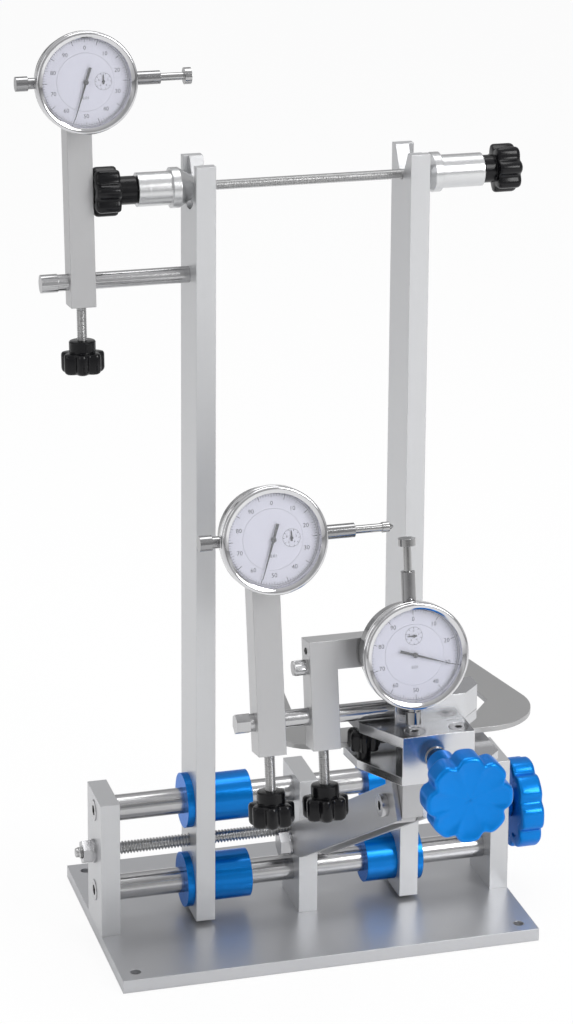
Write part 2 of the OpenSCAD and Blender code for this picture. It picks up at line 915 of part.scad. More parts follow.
module disc_y(y0, y1, r) {
  translate([0, y0, 0]) rotate([-90, 0, 0]) cylinder(h = y1 - y0, r = r);
}

module gauge_case(out) {
  color(steel)
    difference() {
      union() {
        disc_y(dial_y + dial_t + 0.2, case_depth, case_d / 2);
        rod_x(case_d / 2 - 3, bezel_d / 2 + out, stem_y, 0, stem_d / 2);
        rod_x(-bezel_d / 2 - cap_len, -case_d / 2 + 3, stem_y, 0, cap_neck_d / 2);
        rod_x(-bezel_d / 2 - cap_len, -bezel_d / 2 - cap_neck_len, stem_y, 0, cap_d / 2);
        // Back lug
        translate([-ear_t / 2, case_depth - 1, -ear_r]) cube([ear_t, lug_back - case_depth + 1, 2 * ear_r]);
        rod_x(-ear_t / 2, ear_t / 2, lug_back, 0, ear_r);
      }
      rod_x(-bezel_d / 2 - cap_len + 2, bezel_d, stem_y, 0, spindle_d / 2 + fit);
      rod_x(-ear_t, ear_t, lug_back, 0, lug_d / 2 + fit);
      disc_y(0, stem_y - 1, arbor_d / 2 + fit);
      translate([counter_x, 0, 0]) disc_y(0, stem_y - 4.5, counter_arbor_d / 2 + fit);
    }
}

module gauge_bezel() {
  color(steel)
    difference() {
      disc_y(0, bezel_t, bezel_d / 2);
      disc_y(-1, glass_y, bezel_d / 2 - bezel_lip);
      disc_y(glass_y - 0.5, dial_y + dial_t, scale_r + fit);
      disc_y(dial_y + dial_t - 0.2, bezel_t + 1, case_d / 2 + fit);
    }
  color("lightcyan", 0.3) disc_y(glass_y, glass_y + glass_t, scale_r);
  color(dial_white)
    difference() {
      disc_y(dial_y, dial_y + dial_t, scale_r);
      disc_y(0, bezel_t, dial_split_r + fit);
    }
}

module gauge_dial() {
  color(dial_white)
    difference() {
      disc_y(dial_y, dial_y + dial_t + 0.2, dial_split_r);
      disc_y(0, bezel_t, arbor_d / 2 + fit);
      translate([counter_x, 0, 0]) disc_y(0, bezel_t, counter_arbor_d / 2 + fit);
    }
}

// Needle with a counterweighted tail, along +X
module needle(len, tail, w, y, t, a) {
  translate([0, y + t, 0]) rotate([90, -a, 0]) linear_extrude(t)
    polygon([[-tail, -w], [-tail, w], [-w, w], [len, 0.15], [len, -0.15], [-w, -w]]);
}

module gauge_pointer() {
  color(black) {
    needle(pointer_len, pointer_tail, 0.8, pointer_y, pointer_t, pointer_angle);
    disc_y(pointer_y, stem_y - 3, arbor_d / 2);
  }
}

module gauge_counter() {
  color(black)
    translate([counter_x, 0, 0]) {
      needle(counter_len, 1.6, 0.45, counter_y, pointer_t, 90);
      disc_y(counter_y, stem_y - 5, counter_arbor_d / 2);
    }
}

module gauge_spindle(out, shown, disc) {
  stem_end = bezel_d / 2 + out;
  color(steel) {
    rod_x(stem_end - spindle_in, stem_end + shown, stem_y, 0, spindle_d / 2);
    if (disc)
      rod_x(stem_end + shown, stem_end + shown + disc_t, stem_y, 0, disc_d / 2);
    else
      along_x(stem_end + shown, stem_y, 0) {
        cylinder(h = 4, r = spindle_d / 2 + 0.6);
        translate([0, 0, 4]) cylinder(h = 2.6, r1 = spindle_d / 2, r2 = 0.6);
      }
  }
}

module on_side() { at_side(side_gauge_x) translate([0, -lug_back, side_gauge_up]) children(); }
module on_left() { at_head(left_gauge_x) translate([0, -lug_back, left_gauge_up]) children(); }
module on_middle() {
  at_head(middle_gauge_x) translate([0, -lug_back, middle_gauge_up]) children();
}
module upright_stem() { rotate([0, -90, 0]) children(); }

module side_case() { on_side() gauge_case(stem_out); }
module side_bezel() { on_side() gauge_bezel(); }
module side_dial() { on_side() gauge_dial(); }
module side_pointer() { on_side() gauge_pointer(); }
module side_counter() { on_side() gauge_counter(); }
module side_spindle() { on_side() gauge_spindle(stem_out, spindle_out, true); }

module left_case() { on_left() gauge_case(left_stem_out); }
module left_bezel() { on_left() gauge_bezel(); }
module left_dial() { on_left() gauge_dial(); }
module left_pointer() { on_left() gauge_pointer(); }
module left_counter() { on_left() gauge_counter(); }
module left_spindle() { on_left() gauge_spindle(left_stem_out, left_spindle_out, false); }

// The middle gauge stands with its stem up; its back lug is turned to suit the bar
module middle_case() {
  on_middle()
    union() {
      upright_stem() difference() {
        gauge_case(stem_out);
        translate([-bezel_d, case_depth, -bezel_d]) cube(2 * bezel_d);
      }
      color(steel) difference() {
        union() {
          translate([-ear_t / 2, case_depth - 1, -ear_r])
            cube([ear_t, lug_back - case_depth + 1, 2 * ear_r]);
          rod_x(-ear_t / 2, ear_t / 2, lug_back, 0, ear_r);
        }
        rod_x(-ear_t, ear_t, lug_back, 0, lug_d / 2 + fit);
      }
    }
}
module middle_bezel() { on_middle() upright_stem() gauge_bezel(); }
module middle_dial() { on_middle() upright_stem() gauge_dial(); }
module middle_pointer() { on_middle() upright_stem() gauge_pointer(); }
module middle_counter() { on_middle() upright_stem() gauge_counter(); }
module middle_spindle() { on_middle() upright_stem() gauge_spindle(stem_out, spindle_out, true); }

base_plate();
base_screws();
end_plates();
middle_support();
guide_rods();
rod_screws();
arm_pivot_bolt();
left_upright();
left_bushes();
right_upright();
right_bushes();
lead_screw();
lead_screw_nut();
lead_knob();
axle_rod();
left_clamp_sleeve();
left_clamp_knob();
right_clamp_sleeve();
right_clamp_knob();
side_rod();
side_post();
side_post_screw();
side_post_knob();
arm_plates();
head_pivot_bolt();
pivot_block();
head_channel();
gauge_block();
head_screws();
gauge_rod();
feed_screw();
front_knob();
fork();
fork_nut();
fork_lock_knob();
left_post();
left_post_screw();
left_post_knob();
middle_post();
middle_post_screw();
middle_post_knob();
side_case();
side_bezel();
side_dial();
side_pointer();
side_counter();
side_spindle();
left_case();
left_bezel();
left_dial();
left_pointer();
left_counter();
left_spindle();
middle_case();
middle_bezel();
middle_dial();
middle_pointer();
middle_counter();
middle_spindle();
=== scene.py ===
import math
import bpy
import bmesh
from mathutils import Matrix, Vector


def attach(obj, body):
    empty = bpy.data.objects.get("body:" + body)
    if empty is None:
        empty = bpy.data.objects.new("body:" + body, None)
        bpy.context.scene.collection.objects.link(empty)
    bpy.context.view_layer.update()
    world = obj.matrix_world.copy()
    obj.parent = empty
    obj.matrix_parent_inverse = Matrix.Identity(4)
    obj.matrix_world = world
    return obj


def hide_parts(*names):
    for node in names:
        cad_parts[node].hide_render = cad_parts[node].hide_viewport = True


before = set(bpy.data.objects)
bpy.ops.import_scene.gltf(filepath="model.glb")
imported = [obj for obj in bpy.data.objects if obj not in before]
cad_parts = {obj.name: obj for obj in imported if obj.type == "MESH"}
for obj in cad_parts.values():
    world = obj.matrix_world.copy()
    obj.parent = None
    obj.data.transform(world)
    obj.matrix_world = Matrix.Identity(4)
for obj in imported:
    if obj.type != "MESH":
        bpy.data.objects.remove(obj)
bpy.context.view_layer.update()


# ---- Base plate, end plates, middle support and uprights
# Sawn from aluminium plate, milled square and blasted, then clear anodised.
# The end plates and the middle support are screwed down through the base.

class Value:
    """A number or colour inside a finish; arithmetic on it adds Math nodes."""

    def __init__(self, finish, socket):
        self.finish = finish
        self.socket = socket

    def math(self, operation, a, b):
        return self.finish.node("ShaderNodeMath", {"operation": operation}, {0: a, 1: b})

    def __add__(self, other):
        return self.math("ADD", self, other)

    def __mul__(self, other):
        return self.math("MULTIPLY", self, other)


class Finish:
    """One material, built on a Principled shader."""

    def __init__(self, name, color, metallic, roughness, **more):
        self.material = bpy.data.materials.new(name)
        self.material.use_nodes = True
        self.tree = self.material.node_tree
        self.skin = self.tree.nodes["Principled BSDF"]
        self.skin.inputs["Base Color"].default_value = (*color, 1)
        self.skin.inputs["Metallic"].default_value = metallic
        self.skin.inputs["Roughness"].default_value = roughness
        for socket, value in more.items():
            self.skin.inputs[socket.replace("_", " ")].default_value = value

    def put(self, socket, value):
        if isinstance(value, Value):
            self.tree.links.new(value.socket, socket)
        else:
            socket.default_value = value

    def node(self, kind, settings, inputs, output=0):
        made = self.tree.nodes.new(kind)
        for name, value in settings.items():
            if name == "stops":
                ramp = made.color_ramp
                while len(ramp.elements) < len(value):
                    ramp.elements.new(0.5)
                for element, (position, shade) in zip(ramp.elements, value):
                    element.position = position
                    element.color = (*shade, 1)
            else:
                setattr(made, name, value)
        for name, value in inputs.items():
            self.put(made.inputs[name], value)
        return Value(self, made.outputs[output])

    def place(self, stretch=(1, 1, 1)):
        """Where a point lies on the piece, in metres, with each axis stretched."""
        spot = self.node("ShaderNodeTexCoord", {}, {}, "Object")
        return self.node("ShaderNodeMapping", {}, {"Vector": spot, "Scale": stretch})

    def cloud(self, scale, detail=2.0, stretch=(1, 1, 1)):
        return self.node("ShaderNodeTexNoise", {},
                         {"Vector": self.place(stretch), "Scale": scale, "Detail": detail}, 0)

    def vary(self, mask, color, darkest, lightest):
        """The colour itself, made darker or lighter by the mask."""
        return self.blend(mask, [c * darkest for c in color], [min(1, c * lightest) for c in color])

    def blend(self, mask, low, high):
        """A colour between low and high by the mask."""
        return self.node("ShaderNodeMix", {"data_type": "RGBA"},
                         {"Factor": mask, "A": (*low, 1), "B": (*high, 1)}, "Result")

    def relief(self, height, depth, rounding):
        """Fine relief of the surface over edges that are rounded by a small radius."""
        soft = self.node("ShaderNodeBevel", {"samples": 6}, {"Radius": rounding})
        bump = self.node("ShaderNodeBump", {},
                         {"Height": height, "Distance": depth, "Strength": 1.0, "Normal": soft})
        self.put(self.skin.inputs["Normal"], bump)


def satin_aluminium(name, color, roughness, stretch, metallic=0.72):
    """Blasted and anodised plate: a fine even grain, and faint lines from the mill."""
    finish = Finish(name, color, metallic, roughness)
    lines = finish.cloud(900, 3, stretch)
    grain = finish.cloud(2600, 2)
    haze = finish.cloud(9, 2)
    tone = finish.vary(haze * 0.6 + lines * 0.4, color, 0.96, 1.04)
    finish.put(finish.skin.inputs["Base Color"], tone)
    finish.put(finish.skin.inputs["Roughness"], haze * 0.04 + lines * 0.06 + (roughness - 0.05))
    finish.relief(grain * 0.6 + lines * 0.4, 0.000004, 0.0006)
    return finish.material


def paint(material, *nodes):
    for name in nodes:
        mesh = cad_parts[name].data
        mesh.materials.clear()
        mesh.materials.append(material)


base_finish = satin_aluminium("base_aluminium", (0.52, 0.525, 0.54), 0.34, (0.03, 1, 1))
plate_finish = satin_aluminium("plate_aluminium", (0.58, 0.585, 0.595), 0.36, (1, 1, 0.03))
paint(base_finish, "base_plate")
paint(plate_finish, "end_plates", "middle_support", "left_upright", "right_upright")


# ---- Guide rods, lead screw, axle and their screws
# The rods are ground bright steel. The lead screw and the axle are rolled
# threaded bar; the screws and nuts are plated steel.

mm = 0.001


def bright_steel(name, color, roughness, stretch):
    """Turned or ground steel with fine lines round the bar."""
    finish = Finish(name, color, 1.0, roughness)
    lines = finish.cloud(1500, 3, stretch)
    smudge = finish.cloud(18, 2)
    finish.put(finish.skin.inputs["Base Color"], finish.vary(lines, color, 0.94, 1.04))
    finish.put(finish.skin.inputs["Roughness"], smudge * 0.03 + lines * 0.05 + (roughness - 0.04))
    finish.relief(lines, 0.000002, 0.0003)
    return finish.material


def shape(name, verts, faces, body, material, place=None, cad=(), finish_slot=None, sharp=35):
    """A mesh piece from points in millimetres, set in its place and riding on its body."""
    place = place or Matrix.Identity(4)
    mesh = bpy.data.meshes.new(name)
    mesh.from_pydata([(place @ Vector(v)) * mm for v in verts], [], faces)
    work = bmesh.new()
    work.from_mesh(mesh)
    bmesh.ops.remove_doubles(work, verts=work.verts, dist=0.000001)
    bmesh.ops.recalc_face_normals(work, faces=work.faces)
    work.to_mesh(mesh)
    work.free()
    mesh.shade_smooth()
    mesh.set_sharp_from_angle(angle=math.radians(sharp))
    mesh.materials.append(material)
    piece = bpy.data.objects.new(name, mesh)
    bpy.context.scene.collection.objects.link(piece)
    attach(piece, body)
    if cad:
        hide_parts(*cad)
    return piece


def stacked(rings):
    """Closed skin over rings of equally many points; each end is a fan."""
    count = len(rings[0])
    verts = [p for ring in rings for p in ring]
    faces = []
    for i in range(len(rings) - 1):
        for k in range(count):
            n = (k + 1) % count
            faces.append((i * count + k, i * count + n, (i + 1) * count + n, (i + 1) * count + k))
    for base, ring in ((0, rings[0]), ((len(rings) - 1) * count, rings[-1])):
        middle = sum((Vector(p) for p in ring), Vector()) / count
        verts.append(tuple(middle))
        faces += [(base + k, base + (k + 1) % count, len(verts) - 1) for k in range(count)]
    return verts, faces


def turned(profile, count=64):
    """A turned piece round +Z from (radius, height) steps."""
    return stacked([[(r * math.cos(math.tau * k / count), r * math.sin(math.tau * k / count), z)
                     for k in range(count)] for r, z in profile])


def joined(*parts):
    verts, faces = [], []
    for part_verts, part_faces in parts:
        start = len(verts)
        verts += part_verts
        faces += [tuple(i + start for i in face) for face in part_faces]
    return verts, faces


def threaded(length, outer, pitch, plain=0.0, around=18):
    """Threaded bar along +Z: a core, a helical ridge on it and chamfered ends."""
    root = outer - 0.55 * pitch
    core = turned([(root - 0.5, 0), (root, 0.5), (root, length - 0.5), (root - 0.5, length)], around * 2)
    turns = int((length - plain - 2.4) / pitch)
    steps = turns * around
    verts, faces = [], []
    for k in range(steps + 1):
        angle = math.tau * k / around
        rise = plain + 1.2 + pitch * k / around
        fade = min(1, k / around, (steps - k) / around)
        tip = root - 0.02 + (outer - root + 0.02) * fade
        for radius, offset in ((root - 0.02, -0.46), (tip, -0.1), (tip, 0.1), (root - 0.02, 0.46)):
            verts.append((radius * math.cos(angle), radius * math.sin(angle), rise + offset * pitch))
    for k in range(steps):
        for j in range(3):
            a = 4 * k + j
            faces.append((a, a + 1, a + 5, a + 4))
    return joined(core, (verts, faces))


def along_x(x, y, z):
    """Places a piece that points up so that it points to +X from a point."""
    return Matrix.Translation((x, y, z)) @ Matrix.Rotation(math.radians(90), 4, "Y")


line_y = -2.6
screw_z = 57.1
axle_z = 476.8
rod_finish = bright_steel("rod_steel", (0.46, 0.46, 0.465), 0.20, (1, 0.02, 0.02))
thread_finish = bright_steel("thread_steel", (0.50, 0.50, 0.50), 0.30, (1, 0.1, 0.1))
screw_finish = bright_steel("screw_steel", (0.44, 0.44, 0.45), 0.20, (0.4, 1, 1))
paint(rod_finish, "guide_rods", "side_rod", "gauge_rod", "feed_screw")
paint(screw_finish, "rod_screws", "base_screws", "arm_pivot_bolt", "head_pivot_bolt",
      "lead_screw_nut", "head_screws")
shape("threaded_lead_screw", *threaded(294.1, 4.0, 2.0), "lead_screw", thread_finish,
      along_x(-144.6, line_y, screw_z), ["lead_screw"], "bright_steel")
shape("threaded_axle", *threaded(198, 3.0, 1.0), "axle", thread_finish,
      along_x(-99, line_y, axle_z), ["axle_rod"], "bright_steel")


# ---- Slide bushes
# Turned aluminium sleeves, bright blue anodised, pressed and screwed into the
# uprights. Small black cap screws hold each flange.

def blue_anodised(name, color, roughness, stretch):
    """Dyed anodising: deep clear colour over fine turning lines."""
    finish = Finish(name, color, 0.55, roughness, Specular_Tint=(0.2, 0.5, 1, 1),
                    Coat_Weight=0.15, Coat_Roughness=0.12)
    lines = finish.cloud(1200, 3, stretch)
    haze = finish.cloud(14, 2)
    tone = finish.vary(haze * 0.5 + lines * 0.5, color, 0.93, 1.06)
    finish.put(finish.skin.inputs["Base Color"], tone)
    finish.put(finish.skin.inputs["Roughness"], haze * 0.04 + lines * 0.04 + (roughness - 0.04))
    finish.relief(lines, 0.000002, 0.0006)
    return finish.material


def gloss_black(name):
    """Moulded black plastic with a faint skin ripple."""
    finish = Finish(name, (0.004, 0.004, 0.005), 0.0, 0.24, Specular_IOR_Level=0.2,
                    Coat_Weight=0.1, Coat_Roughness=0.08)
    ripple = finish.cloud(260, 3)
    finish.put(finish.skin.inputs["Roughness"], ripple * 0.16 + 0.14)
    finish.relief(ripple, 0.000006, 0.0004)
    return finish.material


bush_finish = blue_anodised("bush_blue", (0.0, 0.17, 0.56), 0.22, (1, 0.02, 0.02))
black_plastic = gloss_black("black_plastic")
paint(bush_finish, "left_bushes", "right_bushes")
guide_rod_heights = (30.8, 84.2)
flange_circle = 12.4
for side, sign in (("left", -1), ("right", 1)):
    heads = []
    for rod_z in guide_rod_heights:
        for turn in (45, 135, 225, 315):
            y = line_y + flange_circle * math.cos(math.radians(turn))
            z = rod_z + flange_circle * math.sin(math.radians(turn))
            verts, faces = turned([(1.0, 75.6), (1.0, 76.1), (1.7, 76.1), (1.95, 76.35),
                                   (1.95, 76.65), (1.7, 76.69)][::-1], 20)
            heads.append(([(sign * up, y + a, z + b) for a, b, up in verts], faces))
    shape(side + "_bush_screws", *joined(*heads), side + "_upright", black_plastic,
          finish_slot="black_plastic")


# ---- Blue knobs
# Turned and scalloped aluminium hand knobs, blue anodised, with a raised
# outer edge; one turns the lead screw and one feeds the fork.

def lobed(radius, count, depth, width, steps, around=168):
    """A scalloped knob: outline with a hollow between lobes, stacked by (inset, height)."""
    outline = []
    for k in range(around):
        angle = math.tau * k / around
        phase = (angle / math.tau * count + 0.5) % 1
        gap = min(phase, 1 - phase)
        outline.append((angle, radius - depth * math.exp(-(gap / width) ** 2)))
    rings = []
    for inset, height in steps:
        rings.append([((r - inset) * math.cos(a), (r - inset) * math.sin(a), height) for a, r in outline])
    return stacked(rings)


def blue_knob_form(diameter, thick, hub_d, hub_len):
    hub = turned([(hub_d / 2 - 0.6, 0), (hub_d / 2, 0.6), (hub_d / 2, hub_len + 0.2)], 48)
    h = hub_len
    rim = lobed(diameter / 2, 8, 3.2, 0.17, [
        (diameter / 2 - 8, h + 1.2), (7, h + 1.2), (6, h + 0.2), (2.0, h), (0.7, h + 0.5),
        (0.12, h + 1.4), (0, h + 2.4),
        (0, h + thick - 2.6), (0.15, h + thick - 1.5), (0.8, h + thick - 0.5), (1.8, h + thick),
        (2.8, h + thick - 0.1), (3.6, h + thick - 0.5), (14, h + thick - 0.9), (23, h + thick - 1.0)])
    return joined(hub, rim)


knob_finish = blue_anodised("knob_blue", (0.0, 0.19, 0.62), 0.30, (1, 1, 1))
head_y = -228.007
feed_x, feed_z = 12.4, 199.568
shape("lead_knob_turned", *blue_knob_form(58, 15, 18, 6), "lead_screw", knob_finish,
      along_x(132.55, line_y, screw_z), ["lead_knob"], "blue_anodised")
facing_front = Matrix.Translation((feed_x, head_y - 8, feed_z)) @ Matrix.Rotation(math.radians(90), 4, "X")
shape("front_knob_turned", *blue_knob_form(49.5, 15, 16, 36.5), "front_knob", knob_finish,
      facing_front, ["front_knob"], "blue_anodised")


# ---- Star knobs and the screws they turn
# Moulded black plastic on threaded steel: two pull the axle clamps tight,
# three clamp the gauge posts on their rods, a small one locks the fork.

def star_form(diameter, neck_d, neck_len, thick):
    neck = turned([(neck_d / 2 - 1.4, 0), (neck_d / 2 - 0.5, 0.3), (neck_d / 2, 1.0),
                   (neck_d / 2, neck_len + 0.6)], 48)
    n, t = neck_len, thick
    star = lobed(diameter / 2, 7, diameter * 0.105, 0.27, [
        (diameter * 0.3, n + 0.3), (2.2, n), (0.8, n + 0.4), (0.2, n + 1.2), (0, n + 2.2), (0, n + t - 3.2),
        (0.25, n + t - 2.0), (0.9, n + t - 1.0), (2.0, n + t - 0.35), (3.4, n + t - 0.1),
        (diameter * 0.22, n + t), (diameter * 0.23, n + t - 0.5), (diameter * 0.36, n + t - 0.5)], 154)
    return joined(neck, star)


def leaning(x, y, z, degrees):
    """The frame of a gauge post: its rod at the origin, the post leaning back."""
    return Matrix.Translation((x, y, z)) @ Matrix.Rotation(math.radians(-degrees), 4, "X")


rod_y, gauge_rod_z, side_rod_z = -198.007, 218.468, 423.0
point_left = Matrix.Scale(-1, 4, (1, 0, 0))
shape("right_clamp_star", *star_form(30.5, 17, 8, 15), "right_clamp_knob", black_plastic,
      along_x(110.65, line_y, axle_z), ["right_clamp_knob"], "black_plastic")
shape("left_clamp_star", *star_form(30.5, 17, 11, 15), "left_clamp_knob", black_plastic,
      point_left @ along_x(104.15, line_y, axle_z), ["left_clamp_knob"], "black_plastic")
post_frames = {"side": leaning(-138.0, line_y, side_rod_z, 5), "left": leaning(-76.1, rod_y, gauge_rod_z, 10),
               "middle": leaning(-44.8, rod_y, gauge_rod_z, 10)}
for name, drop in (("side", 42.2), ("left", 46.0), ("middle", 45.5)):
    stand_in = post_frames[name]
    shape(name + "_post_threaded", *threaded(drop - 5.1, 3.0, 1.0), name + "_clamp_screw", thread_finish,
          stand_in @ Matrix.Translation((0, 0, -drop)), [name + "_post_screw"], "bright_steel")
    shape(name + "_post_star", *star_form(26.5, 16, 7, 13), name + "_clamp_screw", black_plastic,
          stand_in @ Matrix.Translation((0, 0, -drop + 7)) @ Matrix.Rotation(math.pi, 4, "X"),
          [name + "_post_knob"], "black_plastic")
lock = joined(turned([(4, 0), (4, 6.2)], 32), lobed(9.5, 7, 1.9, 0.27, [
    (6, 6.1), (1.2, 6.0), (0.3, 6.5), (0, 7.4), (0, 15.0), (0.4, 16.2), (1.4, 17.0), (3.4, 17.15),
    (3.8, 16.8), (6, 16.8)], 126))
shape("fork_lock_star", *lock, "fork_lock_knob", black_plastic,
      Matrix.Translation((-19.5, head_y + 32, 189.368)), ["fork_lock_knob"], "black_plastic")


# ---- Axle clamps
# Turned aluminium cones and sleeves that pinch the axle in its slots.

sleeve_finish = satin_aluminium("turned_aluminium", (0.60, 0.605, 0.61), 0.26, (1, 0.02, 0.02), 0.9)
paint(sleeve_finish, "left_clamp_sleeve", "right_clamp_sleeve")


# ---- Swing arm, head and fork
# The arm is two flat bars on a bolt; the head is milled from plate and
# carries the fork, which the front knob feeds in and out.

arm_finish = satin_aluminium("arm_aluminium", (0.42, 0.42, 0.425), 0.30, (1, 0.05, 1))
head_finish = satin_aluminium("head_aluminium", (0.56, 0.565, 0.58), 0.18, (0.05, 1, 1), 0.95)
fork_finish = satin_aluminium("fork_aluminium", (0.40, 0.40, 0.40), 0.38, (0.05, 1, 1))
paint(arm_finish, "arm_plates", "pivot_block")
paint(head_finish, "head_channel", "gauge_block", "fork_nut")
paint(fork_finish, "fork")


# ---- Gauge posts
# Square aluminium bars, bored for their rod and slotted at the top for the
# lug of a gauge. A knurled thumb screw holds the middle gauge.

post_finish = satin_aluminium("post_aluminium", (0.50, 0.50, 0.505), 0.34, (1, 1, 0.05))
paint(post_finish, "side_post", "left_post", "middle_post")
knurl = []
for step in range(22):
    angle = math.tau * step / 22
    knurl.append((angle, 4.35 if step % 2 else 3.9))
rings = []
for inset, height in ((0.8, 0.1), (0.1, 0.7), (0, 1.4), (0, 6.6), (0.1, 7.3), (0.8, 7.9)):
    rings.append([((r - inset) * math.cos(a), (r - inset) * math.sin(a), height) for a, r in knurl])
thumb_place = post_frames["middle"] @ along_x(-15.9, 0, 28.0)
shape("middle_thumb_screw", *stacked(rings), "middle_post", screw_finish, thumb_place,
      finish_slot="bright_steel", sharp=20)
post_side_x = -7.9
pips = []
for z in (26.0, 37.0):
    verts, faces = turned([(1.9, 0), (1.9, 0.35), (1.5, 0.5), (0.9, 0.5), (0.9, 0.1)], 24)
    pips.append(([(post_side_x - c, a, z + b) for a, b, c in verts], faces))
shape("middle_post_set_screws", *joined(*pips), "middle_post", black_plastic, post_frames["middle"],
      finish_slot="black_plastic")


# ---- Dial gauges
# Steel case with a back lug and a plated stem, a plated bezel that turns with
# its crystal and printed scale, a fixed inner dial, a long hand and a small
# hand that counts the turns. The spindle ends in a contact disc or a point.

def polished(name, color, roughness):
    """Buffed plating with the faintest wipe marks."""
    finish = Finish(name, color, 1.0, roughness)
    wipe = finish.cloud(180, 4)
    finish.put(finish.skin.inputs["Roughness"], wipe * 0.08 + (roughness - 0.03))
    finish.put(finish.skin.inputs["Base Color"], finish.vary(wipe, color, 0.94, 1.04))
    finish.relief(wipe, 0.000004, 0.0003)
    return finish.material


def printed_card(name):
    """Dial card: very pale lavender white with the tooth of a printed sheet."""
    finish = Finish(name, (0.57, 0.57, 0.65), 0.0, 0.45)
    tooth = finish.cloud(1400, 3)
    finish.put(finish.skin.inputs["Base Color"], finish.blend(tooth, (0.55, 0.55, 0.64), (0.59, 0.59, 0.67)))
    finish.put(finish.skin.inputs["Roughness"], tooth * 0.1 + 0.4)
    finish.relief(tooth, 0.000006, 0.0001)
    return finish.material


def print_ink(name, color):
    finish = Finish(name, color, 0.0, 0.5)
    grain = finish.cloud(1800, 2)
    finish.put(finish.skin.inputs["Base Color"],
               finish.blend(grain, color, [min(1, c * 1.4 + 0.01) for c in color]))
    finish.put(finish.skin.inputs["Roughness"], grain * 0.2 + 0.4)
    return finish.material


def clear_crystal(name):
    """Clear moulded crystal; only its sheen and rim show."""
    finish = Finish(name, (0.95, 0.97, 1.0), 0.0, 0.04)
    ripple = finish.cloud(50, 1)
    finish.put(finish.skin.inputs["Roughness"], ripple * 0.03 + 0.02)
    finish.put(finish.skin.inputs["Alpha"], ripple * 0.03 + 0.06)
    return finish.material


def figure(text, size):
    """The outline of a plain number as a flat mesh."""
    curve = bpy.data.curves.new("figure", "FONT")
    curve.body = text
    curve.size = size
    curve.align_x = "CENTER"
    curve.align_y = "CENTER"
    curve.resolution_u = 3
    holder = bpy.data.objects.new("figure", curve)
    bpy.context.scene.collection.objects.link(holder)
    bpy.context.view_layer.update()
    mesh = bpy.data.meshes.new_from_object(holder.evaluated_get(bpy.context.evaluated_depsgraph_get()))
    verts = [tuple(v.co) for v in mesh.vertices]
    faces = [tuple(p.vertices) for p in mesh.polygons]
    bpy.data.objects.remove(holder)
    bpy.data.curves.remove(curve)
    return verts, faces


def facing(part, y):
    """Turns a flat figure in the XY plane to face the front at a depth."""
    verts, faces = part
    return [(a, y - c, b) for a, b, c in verts], faces


def front_turned(profile, count=96):
    """A turned piece round the axis of a gauge, from (radius, depth) steps."""
    verts, faces = turned(profile, count)
    return [(a, c, b) for a, b, c in verts], faces


def ring_turned(profile, count=96):
    """A closed ring round the axis of a gauge, from (radius, depth) steps."""
    verts, faces = [], []
    total = len(profile)
    for k in range(count):
        a = math.tau * k / count
        verts += [(r * math.cos(a), y, r * math.sin(a)) for r, y in profile]
    for k in range(count):
        n = (k + 1) % count
        for j in range(total):
            i = (j + 1) % total
            faces.append((k * total + j, k * total + i, n * total + i, n * total + j))
    return verts, faces


def bar(x0, x1, half, y, angle, centre=(0, 0), thick=0.04):
    """A thin printed mark along a spoke."""
    c, s = math.cos(angle), math.sin(angle)
    corners = [(x0, -half), (x1, -half), (x1, half), (x0, half)]
    verts = [(centre[0] + a * c - b * s, depth, centre[1] + a * s + b * c)
             for depth in (y, y - thick) for a, b in corners]
    return verts, [(0, 1, 2, 3), (4, 5, 6, 7), (0, 1, 5, 4), (1, 2, 6, 5), (2, 3, 7, 6), (3, 0, 4, 7)]


def needle(length, tail, half, y, angle, hub, centre=(0, 0)):
    """A stamped hand: a long taper, a heavier tail and a round boss."""
    c, s = math.cos(angle), math.sin(angle)
    flat = [(-tail, -half * 1.3), (-tail, half * 1.3), (-tail * 0.35, half * 1.1), (0, half), (length, 0.13),
            (length, -0.13), (0, -half), (-tail * 0.35, -half * 1.1)]
    count = len(flat)
    verts = [(centre[0] + a * c - b * s, depth, centre[1] + a * s + b * c)
             for depth in (y, y - 0.35) for a, b in flat]
    faces = [tuple(range(count)), tuple(range(count, 2 * count))]
    faces += [(k, (k + 1) % count, (k + 1) % count + count, k + count) for k in range(count)]
    boss, boss_faces = front_turned([(hub, y), (hub, y - 0.7), (hub * 0.7, y - 1.0)], 24)
    return joined((verts, faces), ([(a + centre[0], d, b + centre[1]) for a, d, b in boss], boss_faces))


bezel_steel = polished("bezel_plating", (0.62, 0.62, 0.63), 0.07)
case_steel = polished("case_plating", (0.30, 0.30, 0.305), 0.14)
spindle_steel = polished("spindle_steel", (0.40, 0.40, 0.40), 0.10)
dial_card = printed_card("dial_card")
dial_ink = print_ink("dial_ink", (0.015, 0.015, 0.02))
crystal = clear_crystal("crystal")
hand_black = print_ink("hand_black", (0.008, 0.008, 0.010))

